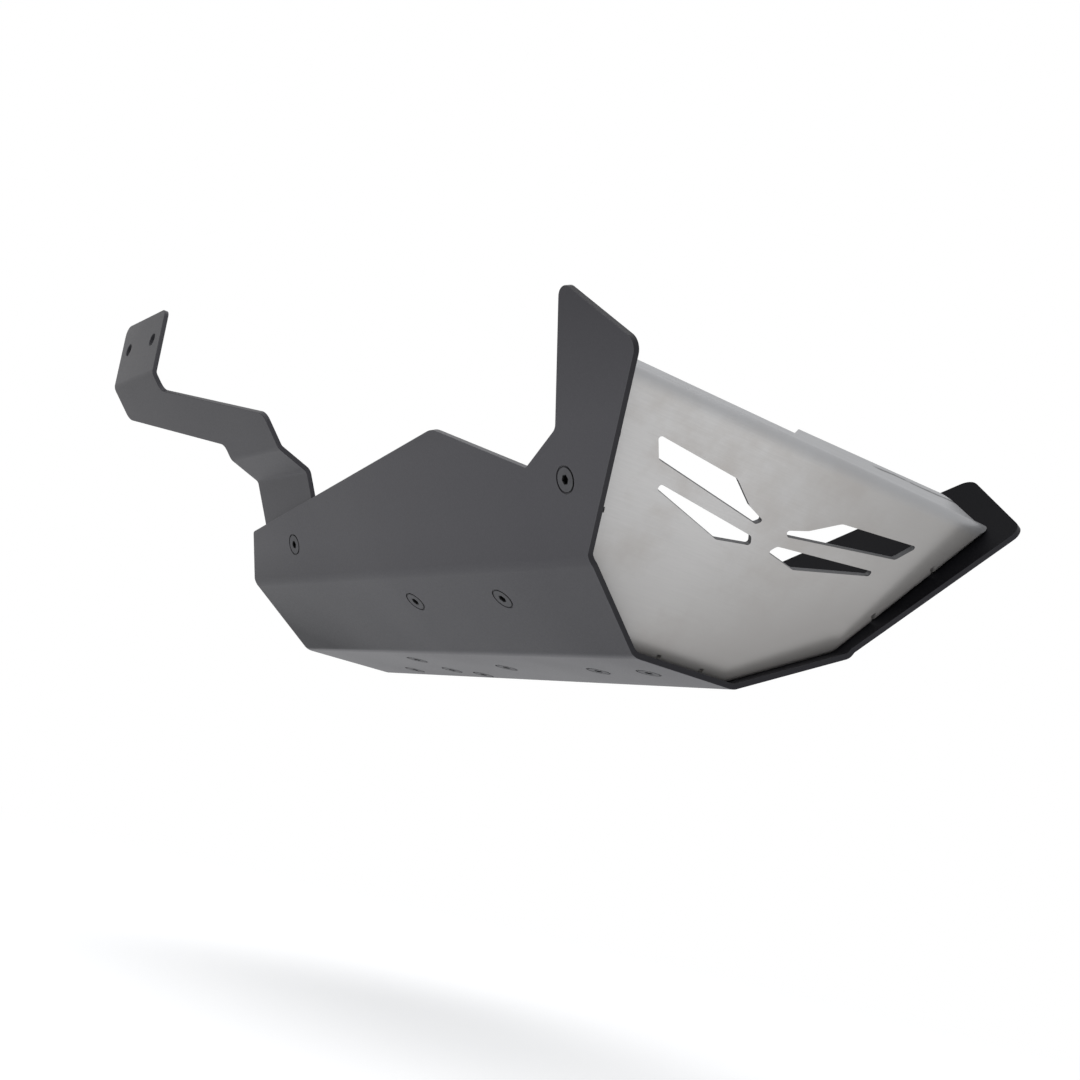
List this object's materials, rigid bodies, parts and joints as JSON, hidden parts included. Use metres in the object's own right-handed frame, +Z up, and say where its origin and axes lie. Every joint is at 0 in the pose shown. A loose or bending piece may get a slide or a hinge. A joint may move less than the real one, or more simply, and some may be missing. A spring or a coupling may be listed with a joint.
{
  "type": "motorcycle engine spoiler",
  "caption": "Folded sheet belly pan for a motorcycle engine, with a vented brushed front panel, inner straps and rear brackets held by countersunk screws.",
  "frame": {"origin": "middle of the floor's flat outer face", "axes": "+X forward to the vented panel, +Y to the rider's left, +Z up"},
  "size_m": [0.5335, 0.3544, 0.1918],
  "materials": {
    "shell_coat": "satin black powder coat on aluminium sheet",
    "brushed_panel": "fine brushed aluminium",
    "bracket_coat": "satin black powder coat on steel",
    "dark_screws": "black zinc plated steel",
    "zinc_plate": "bright zinc plated steel"
  },
  "bodies": {
    "root": {"belly_shell": "shell_coat", "front_panel": "brushed_panel", "front_strap": "bracket_coat", "rear_strap": "bracket_coat", "sump_bracket": "bracket_coat", "rear_bracket_left": "bracket_coat", "rear_bracket_right": "bracket_coat", "front_panel_screws": "dark_screws", "front_panel_washers": "zinc_plate", "front_panel_lock_nuts": "zinc_plate", "front_strap_screws": "dark_screws", "front_strap_washers": "zinc_plate", "front_strap_lock_nuts": "zinc_plate", "rear_strap_screws": "dark_screws", "rear_strap_washers": "zinc_plate", "rear_strap_lock_nuts": "zinc_plate", "sump_bracket_screws": "dark_screws", "sump_bracket_washers": "zinc_plate", "sump_bracket_lock_nuts": "zinc_plate", "rear_bracket_screws": "dark_screws", "rear_bracket_washers": "zinc_plate", "rear_bracket_lock_nuts": "zinc_plate"}
  },
  "joints": []
}
